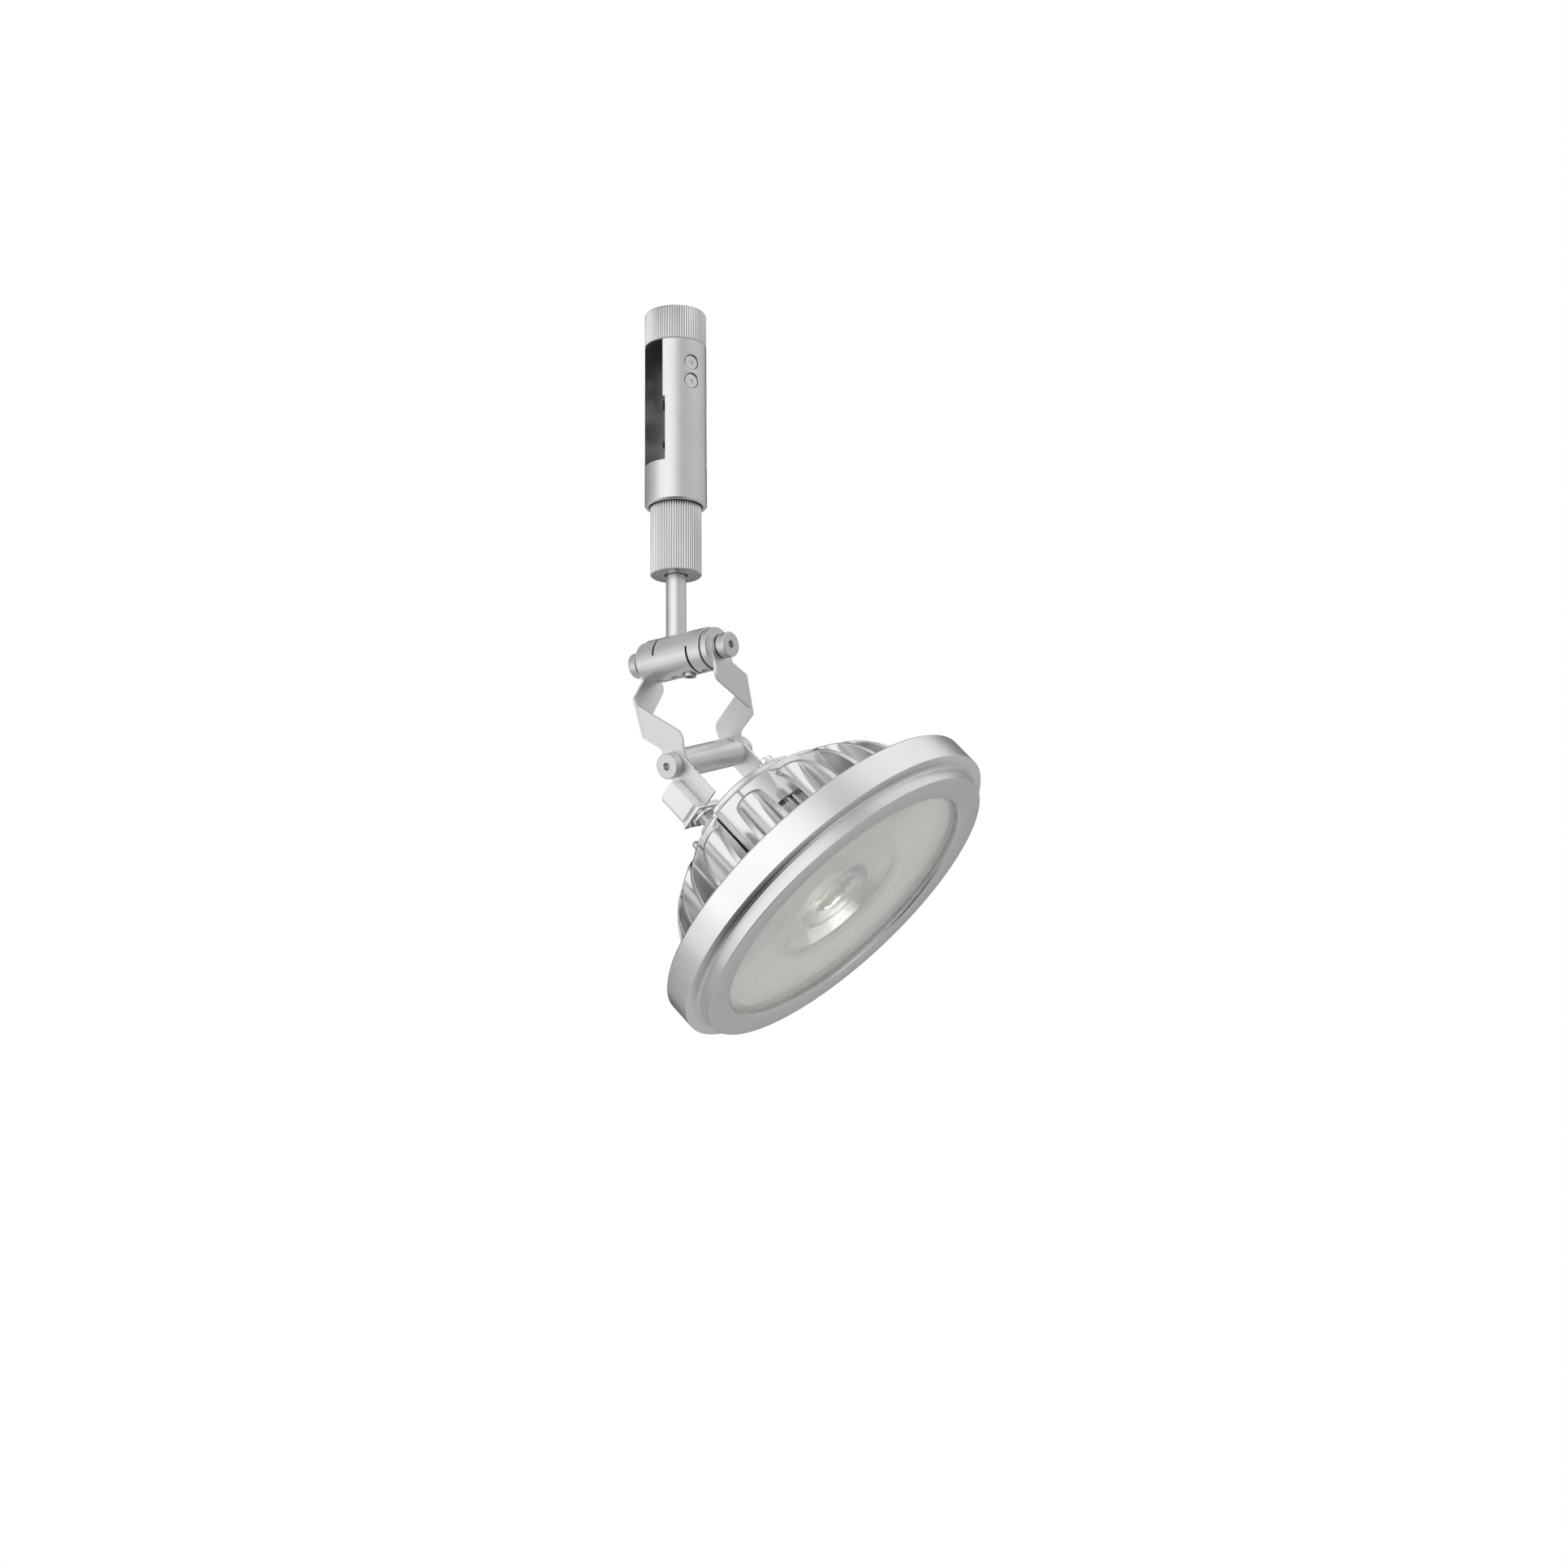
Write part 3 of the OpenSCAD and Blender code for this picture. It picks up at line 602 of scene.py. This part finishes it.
def reflector():
    """The bowl round the emitter: flat facets in rings, each ring turned half a facet."""
    inside = [
        (7.7, 51.45), (8.6, 51.45), (11.4, 52.25), (14.0, 53.25), (16.3, 54.4), (18.4, 55.65),
        (20.1, 57.1), (21.6, 58.72),
    ]
    outside = [(23.5, 58.72), (23.5, 59.38), (20.7, 59.38), (17.6, 56.45), (13.4, 54.15), (7.7, 52.2)]
    rings = [circle(r, z, BOWL_FACETS, 0.5 * (k % 2)) for k, (r, z) in enumerate(inside)]
    rings += [circle(r, z, BOWL_FACETS) for r, z in outside]
    bm = bmesh.new()
    lathe(bm, rings)
    finish_mesh("reflector_faceted", bm, LAMP, BOWL, "lamp", "reflector", sharp=4.0)


pillow_lens()
reflector()

# The middle of the front stays open: the outline stops 0.6 mm short of the axis.
CENTRE_OUTLINE = [
    (0, 51.8), (4, 51.8), (5.8, 52.4), (7.4, 53.2), (9.8, 55.4), (11.8, 57.6), (12, 58), (12, 59.0),
    (11.8, 59.2), (8.6, 59.2), (8.25, 58.85), (7.7, 58.7), (6.9, 58.88), (6.2, 58.62), (5.4, 58.62),
    (4.8, 58.98), (4.2, 58.7), (3.3, 58.66), (2.7, 58.95), (2.1, 58.72), (1.2, 58.72), (0.6, 58.95),
]
turned_part("centre_lens_ringed", "centre_lens", CENTRE_OUTLINE, CLEAR, 128)

# ---------- CAD nodes that show, or are hidden inside, as they are ----------

KEPT = {
    "rail_contacts": CONTACT, "socket_insulator": WHITE_CAD, "socket_contact": BRASS, "cap_pad": BLACK_CAD,
    "plug_insulator": WHITE_CAD, "plug_pin": BRASS, "core_insulation": WHITE_CAD, "core_wire": COPPER,
    "barrel_liners": BLACK_CAD, "tube_insulator": WHITE_CAD, "inner_cover": DIFFUSE,
    "led_board": WHITE_CAD, "led_emitter": EMITTER, "driver_board": BOARD,
}
for node, mat in KEPT.items():
    paint(nodes[node], mat)

# ---------- studio ----------

scene = bpy.context.scene
scene.view_settings.view_transform = "Standard"

CAM_BACK = Vector((-0.543324, -0.805511, -0.236538)).normalized()
CAM_FLAT = Vector((0.829038, -0.559193, 0)).normalized()
CAM_LEVEL = Vector((CAM_BACK.x, CAM_BACK.y, 0)).normalized()
MIDDLE = Vector((0, 0, -0.08))


def toward(azimuth, elevation):
    """A direction, by its angle to the right of the camera's side and its height."""
    a, e = math.radians(azimuth), math.radians(elevation)
    return (CAM_LEVEL * math.cos(a) + CAM_FLAT * math.sin(a)) * math.cos(e) + Vector((0, 0, math.sin(e)))


# The light all round: a base level, and soft panels that add to it or take from it. Each has
# its direction, the angles from it at which it starts and is full, and its level.
BASE = 0.58
PANELS = (
    (toward(-34, 4), 58, 8, 0.68),
    (toward(84, 62), 48, 14, 0.42),
    (toward(176, 16), 44, 10, -0.44),
    (toward(-138, 10), 42, 12, -0.20),
    (toward(10, -58), 50, 16, -0.50),
)


def studio_world():
    """Plain white to the camera, and the panels to everything else."""
    world = bpy.data.worlds.new("studio")
    scene.world = world
    world.use_nodes = True
    made, link = world.node_tree.nodes, world.node_tree.links.new
    made.clear()
    out = made.new("ShaderNodeOutputWorld")
    mix = made.new("ShaderNodeMixShader")
    path = made.new("ShaderNodeLightPath")
    seen = made.new("ShaderNodeBackground")
    seen.inputs["Color"].default_value = (1, 1, 1, 1)
    light = made.new("ShaderNodeBackground")
    link(path.outputs["Is Camera Ray"], mix.inputs[0])
    link(light.outputs[0], mix.inputs[1])
    link(seen.outputs[0], mix.inputs[2])
    link(mix.outputs[0], out.inputs["Surface"])
    around = made.new("ShaderNodeTexCoord").outputs["Generated"]
    total = made.new("ShaderNodeValue").outputs[0]
    total.default_value = BASE
    for direction, start, full, level in PANELS:
        dot = made.new("ShaderNodeVectorMath")
        dot.operation = "DOT_PRODUCT"
        dot.inputs[1].default_value = direction
        link(around, dot.inputs[0])
        lobe = made.new("ShaderNodeMapRange")
        lobe.interpolation_type = "SMOOTHSTEP"
        lobe.inputs["From Min"].default_value = math.cos(math.radians(start))
        lobe.inputs["From Max"].default_value = math.cos(math.radians(full))
        lobe.inputs["To Max"].default_value = level
        link(dot.outputs["Value"], lobe.inputs["Value"])
        both = made.new("ShaderNodeMath")
        link(total, both.inputs[0])
        link(lobe.outputs["Result"], both.inputs[1])
        total = both.outputs[0]
    link(total, light.inputs["Color"])


def soft_light(name, direction, distance, size, power, glossy=False):
    """A round soft light aimed at the object, seen in its metal only where glossy."""
    data = bpy.data.lights.new(name, "AREA")
    data.shape = "DISK"
    data.size = size
    data.energy = power
    light = bpy.data.objects.new(name, data)
    scene.collection.objects.link(light)
    light.location = MIDDLE + direction * distance
    light.rotation_mode = "QUATERNION"
    light.rotation_quaternion = (-direction).to_track_quat("-Z", "Y")
    light.visible_camera = False
    light.visible_glossy = glossy


def pale_floor():
    """A plain matte floor far below, which the object's metal doesn't mirror."""
    g = Graph("pale_floor")
    g.tint(g.noise(g.coords(cad=True), 40.0, 2.0), (0.845, 0.845, 0.845), (0.855, 0.855, 0.855))
    g.set(Roughness=0.8)
    bm = bmesh.new()
    bmesh.ops.create_circle(bm, cap_ends=True, segments=96, radius=6.0)
    mesh = bpy.data.meshes.new("floor")
    bm.to_mesh(mesh)
    bm.free()
    floor = bpy.data.objects.new("floor", mesh)
    scene.collection.objects.link(floor)
    floor.location = (0, 0, -1.3)
    paint(floor, g)
    floor.visible_glossy = False


studio_world()
soft_light("key", toward(-50, 25), 1.6, 0.9, 3)
soft_light("front", toward(62, -42), 1.2, 0.7, 0.6, glossy=True)
soft_light("fill", toward(70, -35), 1.3, 0.9, 6.5)
soft_light("low_left", toward(-80, -20), 1.2, 0.9, 0.75, glossy=True)
pale_floor()

# ---------- camera ----------

CAM_PLACE = (-0.454514, -0.734685, -0.325275)
CAM_LENS = 69.89
CAM_ROLL = math.radians(-0.613)

camera = bpy.data.cameras.new("camera")
camera.lens = CAM_LENS
camera.sensor_width = 36
camera.clip_start = 0.05
camera.clip_end = 50
cam = bpy.data.objects.new("camera", camera)
scene.collection.objects.link(cam)
lift = CAM_BACK.cross(CAM_FLAT)
right = CAM_FLAT * math.cos(CAM_ROLL) + lift * math.sin(CAM_ROLL)
up = lift * math.cos(CAM_ROLL) - CAM_FLAT * math.sin(CAM_ROLL)
cam.matrix_world = Matrix((
    (right.x, up.x, CAM_BACK.x, CAM_PLACE[0]),
    (right.y, up.y, CAM_BACK.y, CAM_PLACE[1]),
    (right.z, up.z, CAM_BACK.z, CAM_PLACE[2]),
    (0, 0, 0, 1),
))
scene.camera = cam
